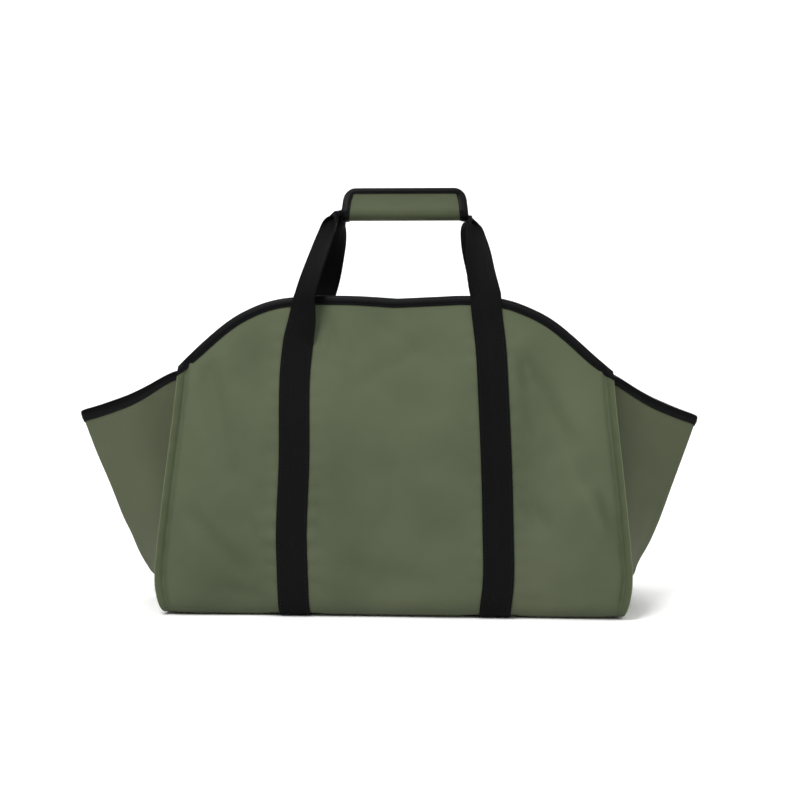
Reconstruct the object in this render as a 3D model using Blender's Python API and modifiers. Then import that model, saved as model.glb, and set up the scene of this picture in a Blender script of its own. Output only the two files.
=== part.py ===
"""Firewood bag: a canvas log carrier with humped panels, winged ends and webbing handles.

Metres, +Z up. X runs along the bag, the front faces -Y, and the origin is on the ground under the
middle of the whole bag. Heights of cloth are those of the middle of its thickness.
"""

import math
from collections import namedtuple

import bmesh
import bpy
from mathutils import Vector

# Driving dimensions: the cloth, the tape and the webbing
CANVAS = 0.0015
TAPE = 0.0008
TAPE_WIDTH = 0.0095
WEBBING = 0.0018
WEBBING_WIDTH = 0.038
GAP = 0.0003

# Driving dimensions: the body
BODY_LENGTH = 0.586
BASE_DEPTH = 0.250
BASE_CORNER = 0.021
CROWN_HEIGHT = 0.388
MOUTH_DEPTH = 0.120
SEAM_TOP = 0.288
SEAM_ALLOWANCE = 0.009
CLOTH_SLACK = 0.008
SLACK_FROM_STRAP = 0.0266
SLACK_FROM_TOP = 0.014
SLACK_FADE = 0.027
SLACK_RISE = 0.048

# Driving dimensions: the winged ends
WING_LEFT = 0.1308
WING_RIGHT = 0.0998
TIP_HEIGHT = 0.238
WING_DROP = 0.004
WING_TUCK = 0.022
VALLEY = 0.0028
VALLEY_DEPTH = 0.0034
TAPE_START = 0.005

# Driving dimensions: the handles and the grip
STRAP_SPACING = 0.248
STRAP_SPACING_TOP = 0.228
STITCH_FREE = 0.024
LEG_STRAIGHT = 0.046
LEG_LEAN = 0.013
GRIP_LENGTH = 0.158
GRIP_SHIFT = 0.010
GRIP_HEIGHT = 0.038
GRIP_DEPTH = 0.0225
GRIP_UNDERSIDE = 0.488
GRIP_CORNER = 0.0065
GRIP_TAPE_WIDTH = 0.006
HANDLE_APART = 0.0085
HANDLE_SEAT = 0.0017
HANDLE_TURN = 0.007

# Shape tables. Every value is a share of a named size, or an angle in degrees.
Outline = namedtuple("Outline", "across rise")
TOP_EDGE = [  # across half the length, and up from the seam's top to the crown
    Outline(0.000, 0.960),
    Outline(0.270, 1.000),
    Outline(0.450, 0.985),
    Outline(0.550, 0.945),
    Outline(0.660, 0.840),
    Outline(0.770, 0.660),
    Outline(0.880, 0.400),
    Outline(1.000, 0.000),
]

Waist = namedtuple("Waist", "height half")
SIDE_EDGE = [  # up the seam, and half the length there
    Waist(0.00, 0.962),
    Waist(0.04, 0.978),
    Waist(0.11, 0.994),
    Waist(0.18, 1.000),
    Waist(0.30, 0.993),
    Waist(0.55, 0.970),
    Waist(1.00, 0.926),
    Waist(1.40, 0.910),
]

Ridge = namedtuple("Ridge", "height reach")
RIDGE = [  # up to the tip, and out from the base seam to the tip
    Ridge(0.00, 0.000),
    Ridge(0.04, 0.015),
    Ridge(0.09, 0.170),
    Ridge(0.13, 0.300),
    Ridge(0.18, 0.365),
    Ridge(0.25, 0.420),
    Ridge(0.35, 0.515),
    Ridge(0.45, 0.600),
    Ridge(0.60, 0.710),
    Ridge(0.80, 0.857),
    Ridge(1.00, 1.000),
]

Fall = namedtuple("Fall", "across down")
WING_FALL = [  # from the seam to the ridge, and down from the seam's height to the ridge's
    Fall(0.00, 0.000),
    Fall(0.10, 0.030),
    Fall(0.20, 0.145),
    Fall(0.35, 0.372),
    Fall(0.50, 0.572),
    Fall(0.65, 0.745),
    Fall(0.80, 0.890),
    Fall(0.90, 0.960),
    Fall(1.00, 1.000),
]

Dent = namedtuple("Dent", "across height wide tall out")
DENTS = [  # place and spread over half the length and the crown, and out in shares of the slack
    Dent(0.00, 0.36, 0.24, 0.26, 0.70),
    Dent(-0.74, 0.40, 0.17, 0.24, 0.75),
    Dent(0.74, 0.30, 0.17, 0.18, 0.80),
    Dent(0.66, 0.58, 0.12, 0.16, -0.55),
    Dent(0.80, 0.46, 0.10, 0.13, 0.45),
    Dent(-0.66, 0.72, 0.12, 0.12, -0.35),
]

Twist = namedtuple("Twist", "along turn fold")
LEG_TWIST = [  # along the free leg: turn about its length, and fold of each half, in degrees
    Twist(0.00, 0.0, 0.0),
    Twist(0.20, 10.0, 8.0),
    Twist(0.60, 30.0, 26.0),
    Twist(0.85, 64.0, 60.0),
    Twist(1.00, 90.0, 84.0),
]

Section = namedtuple("Section", "height depth")
GRIP_SECTION = [  # up the sleeve, and half its depth there; the last rows are the closed fin
    Section(0.00, 0.00),
    Section(0.015, 0.30),
    Section(0.07, 0.62),
    Section(0.17, 0.88),
    Section(0.32, 1.00),
    Section(0.50, 1.00),
    Section(0.66, 0.96),
    Section(0.72, 0.66),
    Section(0.76, 0.22),
    Section(1.00, 0.22),
]

# Where the cloth is divided: shares of half the length, of the height and of the wing
COLUMNS = [0.0, 0.13, 0.25, 0.335, 0.425, 0.515, 0.60, 0.69, 0.78, 0.87, 0.94, 1.0]
PANEL_ROWS = [0.0, 0.07, 0.16, 0.27, 0.39, 0.51, 0.63, 0.75, 0.88, 1.0]
WING_COLUMNS = [0.0, 0.07, 0.18, 0.32, 0.48, 0.64, 0.78, 0.88, 0.95, 1.0]
WING_ROWS = [0.12, 0.25, 0.40, 0.56, 0.72, 0.86, 1.0]
CORNER_STEPS = 5
BASE_STEPS = 3
SEWN_STEPS = 7
LEG_STEPS = 14
GRIP_STEPS = 8
GRIP_CORNER_STEPS = 4
RIDGE_ROUND = 0.22
NEARBY = 0.02
FREE_ROWS = (0.35, 1.15)

# Worked out from the sizes above
HALF_LENGTH = BODY_LENGTH / 2
LAYER = CANVAS + GAP
BASE_HEIGHT = WEBBING + GAP + CANVAS / 2
STRAP_OUT = CANVAS / 2 + GAP + WEBBING / 2
TAPE_OUT = CANVAS / 2 + GAP + TAPE / 2
TAPE_NOSE = TAPE_OUT + CANVAS / 2
OVER_TAPE = CANVAS / 2 + 2 * GAP + TAPE + WEBBING / 2
ARC_Y = BASE_DEPTH / 2 - BASE_CORNER
ARC_Z = BASE_HEIGHT + BASE_CORNER
BODY_SHIFT = (WING_LEFT - WING_RIGHT) / 2


def lean_of_the_panels():
    """The angle from upright of the line from the mouth that touches the base's round corner."""
    inward = ARC_Y - MOUTH_DEPTH / 2
    upward = CROWN_HEIGHT - ARC_Z
    away = math.hypot(inward, upward)
    return math.atan2(inward, upward) + math.asin(BASE_CORNER / away)


LEAN = lean_of_the_panels()
ARC_TOP = ARC_Z + BASE_CORNER * math.sin(LEAN)


def lookup(table, at):
    """The second column of a table at a value of the first, on a smooth curve through the rows."""
    last = len(table) - 1
    if at <= table[0][0]:
        return table[0][1]
    if at >= table[last][0]:
        return table[last][1]
    k = next(i for i in range(last) if at < table[i + 1][0])
    x0, y0 = table[k][:2]
    x1, y1 = table[k + 1][:2]
    if y0 == y1:
        return y0
    step = x1 - x0
    before = table[max(k - 1, 0)]
    after = table[min(k + 2, last)]
    slope0 = (y1 - before[1]) / (x1 - before[0])
    slope1 = (after[1] - y0) / (after[0] - x0)
    t = (at - x0) / step
    return (
        y0 * (2 * t**3 - 3 * t**2 + 1)
        + slope0 * step * (t**3 - 2 * t**2 + t)
        + y1 * (3 * t**2 - 2 * t**3)
        + slope1 * step * (t**3 - t**2)
    )


def ease(t):
    """0 below 0, 1 above 1, and smooth between."""
    t = min(max(t, 0.0), 1.0)
    return t * t * (3 - 2 * t)


def half_length(z):
    """Half the body's length at a height."""
    return HALF_LENGTH * lookup(SIDE_EDGE, z / SEAM_TOP)


def top_edge(across):
    """Height of the panel's top edge at a share of half the length."""
    return SEAM_TOP + (CROWN_HEIGHT - SEAM_TOP) * lookup(TOP_EDGE, abs(across))


def wall_depth(z, inset=0.0):
    """Distance of the leaning panel from the bag's middle plane, `inset` inside its middle."""
    return ARC_Y + (BASE_CORNER - inset - (z - ARC_Z) * math.sin(LEAN)) / math.cos(LEAN)


def corner_point(turn, inset=0.0):
    """(depth, height) on the base's round corner: turn 0 meets the panel, 1 meets the base."""
    angle = LEAN - (math.pi / 2 + LEAN) * turn
    radius = BASE_CORNER - inset
    return ARC_Y + radius * math.cos(angle), ARC_Z + radius * math.sin(angle)


def strap_middle(z):
    """Distance of a strap's middle line from the middle of the body, at a height."""
    return (
        STRAP_SPACING
        + (STRAP_SPACING_TOP - STRAP_SPACING) * ease((z - SEAM_TOP) / (CROWN_HEIGHT - SEAM_TOP))
    ) / 2


def swell(across, z):
    """How far the slack cloth stands out of the panel, none at the straps, seams and edges."""
    x = abs(across) * HALF_LENGTH
    free = ease((abs(x - STRAP_SPACING / 2) - SLACK_FROM_STRAP) / SLACK_FADE)
    free *= ease((HALF_LENGTH - SEAM_ALLOWANCE - x) / SLACK_FADE)
    free *= ease((top_edge(across) - SLACK_FROM_TOP - z) / SLACK_RISE)
    free *= ease((z - ARC_TOP) / SLACK_RISE)
    out = 0.0
    for dent in DENTS:
        dx = (across - dent.across) / dent.wide
        dz = (z / CROWN_HEIGHT - dent.height) / dent.tall
        out += dent.out * math.exp(-dx * dx - dz * dz)
    return CLOTH_SLACK * out * free


def panel_point(across, down):
    """A point of the front panel: across from -1 to 1, down from 0 at the top edge to 1."""
    z = top_edge(across) + (ARC_TOP - top_edge(across)) * down
    return Vector((across * half_length(z), -wall_depth(z) - swell(across, z), z))


def body_stations():
    """The rows of half the body cloth, from the front's top edge to the middle of the base."""
    rows = [("panel", down) for down in PANEL_ROWS]
    rows += [("corner", (i + 1) / CORNER_STEPS) for i in range(CORNER_STEPS)]
    rows += [("base", (i + 1) / BASE_STEPS) for i in range(BASE_STEPS)]
    return rows


def body_point(across, row):
    """A point of the body cloth, in the middle of its thickness."""
    part, share = row
    if part == "panel":
        return panel_point(across, share)
    if part == "corner":
        depth, z = corner_point(share)
        return Vector((across * half_length(z), -depth, z))
    return Vector((across * half_length(BASE_HEIGHT), -ARC_Y * (1 - share), BASE_HEIGHT))


# The winged ends


def wing_tip(side):
    """How far the tip of an end stands out from the middle of the body."""
    return half_length(0) + (WING_LEFT if side < 0 else WING_RIGHT)


def seam_line(z):
    """Distance of the end seam's stitching from the middle of the body."""
    return half_length(z) - SEAM_ALLOWANCE


def ridge_line(side, z):
    """Distance of the end's ridge from the middle of the body, at a height."""
    foot = seam_line(BASE_HEIGHT)
    return foot + (wing_tip(side) - foot) * lookup(RIDGE, z / TIP_HEIGHT)


def wing_stations():
    """The rows of an end, from its top edge to the base seam, as (part, share)."""
    first = TAPE_WIDTH / (SEAM_TOP - WING_DROP - ARC_TOP)
    rows = [("side", 0.0), ("side", first)]
    rows += [("side", share) for share in WING_ROWS]
    rows += [("corner", (i + 1) / CORNER_STEPS) for i in range(CORNER_STEPS)]
    return rows


def wing_row(side, row):
    """The ends of one row: the seam point and the ridge point."""
    part, share = row
    if part == "side":
        z_seam = SEAM_TOP - WING_DROP + (ARC_TOP - SEAM_TOP + WING_DROP) * share
        z_ridge = TIP_HEIGHT + (ARC_TOP - TIP_HEIGHT) * share
        tuck = ease((z_seam - SEAM_TOP + WING_TUCK) / TAPE_WIDTH)
        depth = wall_depth(z_seam, LAYER + (TAPE + GAP) * tuck)
    else:
        depth, z_seam = corner_point(share, LAYER)
        z_ridge = z_seam
    seam = Vector((side * seam_line(z_seam), -depth, z_seam))
    ridge = Vector((side * ridge_line(side, z_ridge), 0.0, z_ridge))
    return seam, ridge


def wing_point(side, column, row):
    """A point of an end: column -1 is the seam's stitching, 0 the valley and 1 the ridge."""
    seam, ridge = wing_row(side, row)
    if column < 0:
        return seam
    upright = 1.0 if row[0] == "side" else 1.0 - row[1]
    valley = seam + Vector((-side * VALLEY, VALLEY_DEPTH, 0.0)) * upright
    near = max(column - (1 - RIDGE_ROUND), 0.0)
    out = (column - near * near / (2 * RIDGE_ROUND)) / (1 - RIDGE_ROUND / 2)
    fall = lookup(WING_FALL, column)
    return Vector(
        (
            valley.x + (ridge.x - valley.x) * out,
            valley.y * (1 - column),
            valley.z + (ridge.z - valley.z) * fall,
        )
    )


# The grip sleeve


def grip_cut(x):
    """How far the sleeve's rounded corner is below its top edge, at a place along it."""
    inside = GRIP_CORNER - (GRIP_LENGTH / 2 - abs(x))
    if inside <= 0:
        return 0.0
    return GRIP_CORNER - math.sqrt(max(GRIP_CORNER**2 - inside**2, 0.0))


def grip_point(x, up):
    """A point of the sleeve's front half: x from its middle, up from 0 at the fold to 1."""
    height = GRIP_HEIGHT - CANVAS
    share = min(up, 1 - grip_cut(x) / height)
    depth = (GRIP_DEPTH - CANVAS) / 2 * lookup(GRIP_SECTION, share)
    return Vector((GRIP_SHIFT + x, -depth, GRIP_UNDERSIDE + CANVAS / 2 + height * share))


def grip_outward(x, up):
    """The direction out of the sleeve, halfway between the faces that meet at a row."""
    if up == 0:
        return Vector((0, 0, -1))
    row = GRIP_ROWS.index(up)
    here = grip_point(x, up)
    below = here - grip_point(x, GRIP_ROWS[row - 1])
    above = grip_point(x, GRIP_ROWS[row + 1]) - here if up < 1 else below
    rise = below.normalized() + above.normalized()
    return Vector((0, -rise.z, rise.y)).normalized()


def grip_inward(x, up):
    """The direction from the sleeve's edge into the cloth: in corners, to their centre."""
    past = abs(x) - (GRIP_LENGTH / 2 - GRIP_CORNER)
    if up < 1:
        return Vector((math.copysign(1, -x), 0, 0))
    if past <= 0:
        return Vector((0, 0, -1))
    return Vector((math.copysign(past, -x), 0, grip_cut(x) - GRIP_CORNER)).normalized()


def grip_columns():
    """Places along the sleeve, closer together in its rounded corners."""
    half = GRIP_LENGTH / 2
    end = [
        half - GRIP_CORNER * (1 - math.sin(math.pi / 2 * i / GRIP_CORNER_STEPS))
        for i in range(GRIP_CORNER_STEPS + 1)
    ]
    middle = [end[0] * (2 * i / GRIP_STEPS - 1) for i in range(GRIP_STEPS + 1)]
    return [-x for x in reversed(end[1:])] + middle + end[1:]


GRIP_ROWS = [row.height for row in GRIP_SECTION]


# The webbing

Frame = namedtuple("Frame", "middle outward fold")


def sewn_frames(side):
    """The webbing sewn under the base and up the front panel, on one side of the middle."""
    frames = []

    def add(depth, z, outward):
        frames.append(Frame(Vector((side * strap_middle(z), -depth, z)), Vector(outward), 0.0))

    low = BASE_HEIGHT - STRAP_OUT
    for i in range(BASE_STEPS):
        add(GAP / 2 + (ARC_Y - GAP / 2) * i / BASE_STEPS, low, (0, 0, -1))
    for i in range(CORNER_STEPS + 1):
        turn = 1 - i / CORNER_STEPS
        depth, z = corner_point(turn, -STRAP_OUT)
        angle = LEAN - (math.pi / 2 + LEAN) * turn
        add(depth, z, (0, -math.cos(angle), math.sin(angle)))
    sewn_top = CROWN_HEIGHT - STITCH_FREE
    outward = (0, -math.cos(LEAN), math.sin(LEAN))
    for i in range(1, SEWN_STEPS + 1):
        z = ARC_TOP + (sewn_top - ARC_TOP) * i / SEWN_STEPS
        add(wall_depth(z, -STRAP_OUT), z, outward)
    for share in FREE_ROWS:
        z = sewn_top + STITCH_FREE * share
        add(wall_depth(z, -OVER_TAPE), z, outward)
    return frames


def handle_height():
    """Height of the webbing's middle line in the sleeve, clear of its round underside."""
    return GRIP_UNDERSIDE + CANVAS + TAPE + 2 * GAP + WEBBING / 2 + HANDLE_SEAT


def leg_frames(side, start):
    """The free leg from the panel's top to the sleeve: it turns, and its edges fold upwards."""
    beyond = GRIP_LENGTH / 2 + TAPE_NOSE + TAPE / 2 + GAP
    end = Vector((GRIP_SHIFT + side * beyond, -HANDLE_APART / 2, handle_height()))
    rising = Vector((0, math.sin(LEAN), math.cos(LEAN))) * LEG_STRAIGHT
    first = start + rising - Vector((side * LEG_LEAN, 0, 0))
    second = end + Vector((side * HANDLE_TURN, 0, 0))
    panel_side = Vector((0, -math.cos(LEAN), math.sin(LEAN)))
    frames = []
    for i in range(1, LEG_STEPS + 1):
        t = i / LEG_STEPS
        middle = (
            start * (1 - t) ** 3
            + first * (3 * t * (1 - t) ** 2)
            + second * (3 * t * t * (1 - t))
            + end * t**3
        )
        along = (
            (first - start) * (1 - t) ** 2
            + (second - first) * (2 * t * (1 - t))
            + (end - second) * t * t
        ).normalized()
        turn = math.radians(lookup(LEG_TWIST, t))
        fold = math.radians(lookup([(row.along, row.fold) for row in LEG_TWIST], t))
        loop_side = Vector((side * along.z, 0, -side * along.x)).normalized()
        outward = panel_side * math.cos(turn) + loop_side * math.sin(turn)
        outward -= along * outward.dot(along)
        frames.append(Frame(middle, outward.normalized(), fold))
    return frames


def webbing_frames():
    """The whole strip: up the left, through the sleeve, and down the right."""
    left = sewn_frames(-1)
    left += leg_frames(-1, left[-1].middle)
    right = sewn_frames(1)
    right += leg_frames(1, right[-1].middle)
    return left + right[::-1]


def webbing_point(frames, index, edge):
    """A point of the webbing: edge -1, 0 or 1 across it."""
    middle, outward, fold = frames[index]
    before = frames[max(index - 1, 0)].middle
    after = frames[min(index + 1, len(frames) - 1)].middle
    across = (after - before).normalized().cross(outward).normalized()
    half = WEBBING_WIDTH / 2 * edge
    return middle + across * half * math.cos(fold) + outward * abs(half) * math.sin(fold)


# Building


def make_material(name, colour, roughness):
    """A matt, non-metallic finish, with its colour in linear values."""
    material = bpy.data.materials.new(name)
    material.use_nodes = True
    shader = material.node_tree.nodes["Principled BSDF"]
    shader.inputs["Base Color"].default_value = (*colour, 1.0)
    shader.inputs["Roughness"].default_value = roughness
    shader.inputs["Metallic"].default_value = 0.0
    material.diffuse_color = (*colour, 1.0)
    return material


def grid_mesh(place, columns, rows):
    """An open grid of cloth: place(column, row) gives each corner's point."""
    mesh = bmesh.new()
    bmesh.ops.create_grid(mesh, x_segments=len(columns) - 1, y_segments=len(rows) - 1, size=1.0)
    mesh.verts.ensure_lookup_table()
    for index, vertex in enumerate(mesh.verts):
        row, column = divmod(index, len(columns))
        vertex.co = place(columns[column], rows[row])
    return mesh


def cloth_object(name, mesh, thickness, material, front_and_back=False):
    """One piece of cloth as an open surface with Mirror, where it has a like half, and Solidify."""
    for vertex in mesh.verts:
        vertex.co.x += BODY_SHIFT
    data = bpy.data.meshes.new(name)
    mesh.to_mesh(data)
    mesh.free()
    data.materials.append(material)
    data.shade_smooth()
    piece = bpy.data.objects.new(name, data)
    collection.objects.link(piece)
    if front_and_back:
        mirror = piece.modifiers.new("front and back", "MIRROR")
        mirror.use_axis = (False, True, False)
        mirror.use_clip = True
        mirror.merge_threshold = 0.00001
    wall = piece.modifiers.new("thickness", "SOLIDIFY")
    wall.thickness = thickness
    wall.offset = 0.0
    return piece


def tape_object(name, edge, width, material, front_and_back=False):
    """Tape folded over an edge. Each row of `edge` is (point, inner point, outward)."""
    def place(column, row):
        point, inner, outward = edge[row]
        inward = (inner - point).normalized()
        if column == 0:
            return point - inward * TAPE_NOSE
        reach = -GAP if abs(column) == 1 else width
        return point + inward * reach + outward * math.copysign(TAPE_OUT, column)

    mesh = grid_mesh(place, [-2, -1, 0, 1, 2], list(range(len(edge))))
    return cloth_object(name, mesh, TAPE, material, front_and_back)


def make_body(material):
    """Front panel, base and back panel: one length of canvas."""
    columns = [-c for c in reversed(COLUMNS[1:])] + COLUMNS
    mesh = grid_mesh(body_point, columns, body_stations())
    cloth_object("canvas_body", mesh, CANVAS, material, front_and_back=True)


def make_end(side, name, material):
    """One winged end, with the seam allowance that lies behind the panels and on the base."""
    columns = [-1] + WING_COLUMNS
    rows = wing_stations()
    mesh = grid_mesh(lambda column, row: wing_point(side, column, row), columns, rows)
    last = len(rows) - 1
    seam = {v for i, v in enumerate(mesh.verts) if i % len(columns) == 0 or i // len(columns) == last}
    edges = [e for e in mesh.edges if e.is_boundary and all(v in seam for v in e.verts)]
    turned = bmesh.ops.extrude_edge_only(mesh, edges=edges)["geom"]
    for vertex in turned:
        if isinstance(vertex, bmesh.types.BMVert):
            vertex.co.x = side * half_length(vertex.co.z)
    cloth_object(name, mesh, CANVAS, material, front_and_back=True)


def make_top_binding(side, name, material):
    """Tape over a panel's top edge: side -1 is the front."""
    shares = [-c for c in reversed(COLUMNS[1:])] + COLUMNS
    outward = Vector((0, -math.cos(LEAN), math.sin(LEAN)))
    points = [panel_point(share, 0.0) for share in shares]
    edge = []
    for i, point in enumerate(points):
        along = points[min(i + 1, len(points) - 1)] - points[max(i - 1, 0)]
        inward = along.normalized().cross(outward)
        inward *= -1 if inward.z > 0 else 1
        edge.append((point, point + inward, outward))
    if side > 0:
        flip = Vector((1, -1, 1))
        edge = [tuple(vector * flip for vector in row) for row in edge]
    tape_object(name, edge, TAPE_WIDTH, material)


def make_wing_binding(side, name, material):
    """Tape over an end's top edge, from beside one seam over the ridge to beside the other."""
    rows = wing_stations()
    length = abs(wing_row(side, rows[0])[0].y)
    columns = [c for c in WING_COLUMNS if c * length > TAPE_START]
    edge = []
    for column in columns:
        point = wing_point(side, column, rows[0])
        inner = wing_point(side, column, rows[1])
        before = wing_point(side, column - NEARBY, rows[0])
        outward = (point - before).cross(inner - point).normalized()
        outward *= -1 if outward.x * side < 0 else 1
        if column == 1.0:
            outward.y = 0.0
            outward.normalize()
        edge.append((point, inner, outward))
    tape_object(name, edge, TAPE_WIDTH, material, front_and_back=True)


def make_webbing(side, name, material):
    """One handle's webbing: side -1 is the front."""
    frames = webbing_frames()
    mesh = grid_mesh(
        lambda edge, index: webbing_point(frames, index, edge), [-1, 0, 1], list(range(len(frames)))
    )
    if side > 0:
        for vertex in mesh.verts:
            vertex.co.y *= -1
    cloth_object(name, mesh, WEBBING, material)


def make_grip(material):
    """The sleeve folded up round both handles."""
    mesh = grid_mesh(grip_point, grip_columns(), GRIP_ROWS)
    cloth_object("grip_wrap", mesh, CANVAS, material, front_and_back=True)


def make_grip_binding(material):
    """Tape round the edge of the sleeve, up each end and along the top."""
    columns = grip_columns()
    route = [(columns[0], up) for up in GRIP_ROWS]
    route += [(x, 1.0) for x in columns[1:-1]]
    route += [(columns[-1], up) for up in reversed(GRIP_ROWS)]
    edge = []
    for x, up in route:
        point = grip_point(x, up)
        edge.append((point, point + grip_inward(x, up), grip_outward(x, up)))
    tape_object("grip_binding", edge, GRIP_TAPE_WIDTH, material, front_and_back=True)


def build():
    canvas = make_material("coated canvas", (0.115, 0.139, 0.083), 0.75)
    tape = make_material("binding tape", (0.011, 0.011, 0.012), 0.55)
    webbing = make_material("webbing", (0.009, 0.009, 0.010), 0.70)
    make_body(canvas)
    for side, hand in ((-1, "left"), (1, "right")):
        make_end(side, f"end_gusset_{hand}", canvas)
        make_wing_binding(side, f"gusset_binding_{hand}", tape)
    for side, face in ((-1, "front"), (1, "back")):
        make_top_binding(side, f"top_binding_{face}", tape)
        make_webbing(side, f"webbing_{face}", webbing)
    make_grip(canvas)
    make_grip_binding(tape)


for item in list(bpy.data.objects):
    bpy.data.objects.remove(item, do_unlink=True)
collection = bpy.data.collections.new("firewood_bag")
bpy.context.scene.collection.children.link(collection)
build()
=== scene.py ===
# %% [markdown]
# # Firewood bag in canvas, tape and webbing
# This scene dresses a plain working model of a log carrier in cloth that looks sewn.
# The bag is one long canvas, folded up from the base to a humped front and back.
# A winged end is sewn in on each side, and two webbing handles meet in a canvas grip.
# Each cell makes one step, so that any of them can be run and changed by itself.

import math

import bpy
import numpy
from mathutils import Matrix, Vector, noise


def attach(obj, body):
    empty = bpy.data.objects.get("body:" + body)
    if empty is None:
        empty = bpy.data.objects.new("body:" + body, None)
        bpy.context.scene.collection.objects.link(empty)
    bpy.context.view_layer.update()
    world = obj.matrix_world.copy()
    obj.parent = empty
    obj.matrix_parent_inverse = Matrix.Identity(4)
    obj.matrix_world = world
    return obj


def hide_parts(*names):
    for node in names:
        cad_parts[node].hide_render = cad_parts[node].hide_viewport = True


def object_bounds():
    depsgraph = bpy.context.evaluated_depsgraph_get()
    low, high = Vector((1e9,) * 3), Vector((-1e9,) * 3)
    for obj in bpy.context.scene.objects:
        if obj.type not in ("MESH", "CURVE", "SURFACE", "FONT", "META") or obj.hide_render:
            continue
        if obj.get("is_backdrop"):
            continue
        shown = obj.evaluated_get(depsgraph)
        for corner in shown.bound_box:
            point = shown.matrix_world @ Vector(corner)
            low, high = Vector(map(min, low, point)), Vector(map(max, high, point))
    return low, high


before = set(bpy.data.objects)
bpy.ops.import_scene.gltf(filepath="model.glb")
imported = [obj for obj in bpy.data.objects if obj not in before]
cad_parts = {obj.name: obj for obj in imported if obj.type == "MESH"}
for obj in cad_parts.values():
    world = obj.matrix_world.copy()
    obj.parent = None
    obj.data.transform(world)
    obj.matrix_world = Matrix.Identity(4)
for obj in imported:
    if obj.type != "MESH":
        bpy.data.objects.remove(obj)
scene = bpy.context.scene


def plain_numbers(value):
    """Vectors and arrays as lists of numbers."""
    if isinstance(value, dict):
        return {str(key): plain_numbers(item) for key, item in value.items()}
    if isinstance(value, (str, bool, int, float)) or value is None:
        return value
    return [plain_numbers(item) for item in value]


size_lines = {"loaded": plain_numbers(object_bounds())}
print("the working model's size:", size_lines["loaded"])

# %% [markdown]
# ## Sizes
# The cloth has to lie where the working model has it, so the sizes are the same ones.
# All are in metres. The middle of the body is a little to the right of the middle of the
# whole bag, because the left wing reaches further out.

# %%
CANVAS = 0.0015
TAPE = 0.0008
TAPE_WIDTH = 0.0095
WEBBING = 0.0018
WEBBING_WIDTH = 0.038
GAP = 0.0003
FACES = ((-1, "front"), (1, "back"))
SIDES = ((-1, "left"), (1, "right"))

BODY_LENGTH = 0.586
BASE_DEPTH = 0.25
BASE_CORNER = 0.017
CROWN_HEIGHT = 0.391
MOUTH_DEPTH = 0.12
SEAM_TOP = 0.29
SEAM_ALLOWANCE = 0.009
CLOTH_SLACK = 0.008

WING_LEFT = 0.1308
WING_RIGHT = 0.0998
TIP_HEIGHT = {-1: 0.241, 1: 0.2378}
WING_DROP = {-1: -0.0085, 1: -0.0035}
WING_TUCK = 0.022

GRIP_LENGTH = 0.1595
GRIP_SHIFT = 0.0093
GRIP_HEIGHT = 0.0402
GRIP_DEPTH = 0.0225
GRIP_UNDERSIDE = 0.4895

HALF_LENGTH = BODY_LENGTH / 2
LAYER = CANVAS + GAP
BASE_HEIGHT = WEBBING + GAP + CANVAS / 2
STRAP_OUT = CANVAS / 2 + GAP + WEBBING / 2
TAPE_OUT = CANVAS / 2 + GAP + TAPE / 2
ARC_Y = BASE_DEPTH / 2 - BASE_CORNER
ARC_Z = BASE_HEIGHT + BASE_CORNER
BODY_SHIFT = (WING_LEFT - WING_RIGHT) / 2

inward = ARC_Y - MOUTH_DEPTH / 2
upward = CROWN_HEIGHT - ARC_Z
LEAN = math.atan2(inward, upward) + math.asin(BASE_CORNER / math.hypot(inward, upward))
ARC_TOP = ARC_Z + BASE_CORNER * math.sin(LEAN)
PANEL_OUT = Vector((0, -math.cos(LEAN), math.sin(LEAN)))
print(f"the panels lean in by {math.degrees(LEAN):.1f} degrees")

# %% [markdown]
# ## Curves through a few numbers
# The outlines are smooth curves through a few measured shares. A cubic between two rows,
# with its slope taken from their neighbours, keeps the line fair without any handles to set.
# `ease` fades a fold out, and `band` gives a soft ridge across a line.


# %%
def lookup(table, at):
    """The second column of a table at a value of the first, on a smooth curve."""
    last = len(table) - 1
    if at <= table[0][0]:
        return table[0][1]
    if at >= table[last][0]:
        return table[last][1]
    k = next(i for i in range(last) if at < table[i + 1][0])
    x0, y0 = table[k][:2]
    x1, y1 = table[k + 1][:2]
    if y0 == y1:
        return y0
    step = x1 - x0
    before = table[max(k - 1, 0)]
    after = table[min(k + 2, last)]
    slope0 = (y1 - before[1]) / (x1 - before[0])
    slope1 = (after[1] - y0) / (after[0] - x0)
    t = (at - x0) / step
    return (
        y0 * (2 * t**3 - 3 * t**2 + 1)
        + slope0 * step * (t**3 - 2 * t**2 + t)
        + y1 * (3 * t**2 - 2 * t**3)
        + slope1 * step * (t**3 - t**2)
    )


def ease(t):
    """0 below 0, 1 above 1, and smooth between."""
    t = min(max(t, 0.0), 1.0)
    return t * t * (3 - 2 * t)


def band(distance, width):
    """1 on a line, fading away on both sides of it."""
    return math.exp(-((distance / width) ** 2))


def spread(start, end, count):
    """Evenly spaced numbers, both ends among them."""
    return [start + (end - start) * i / (count - 1) for i in range(count)]


# %% [markdown]
# ## The body's outline
# The top edge rises from the end seams to a nearly flat crown. The seams lean outward
# toward the base, so the body is a little longer low down than at the mouth.

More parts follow.
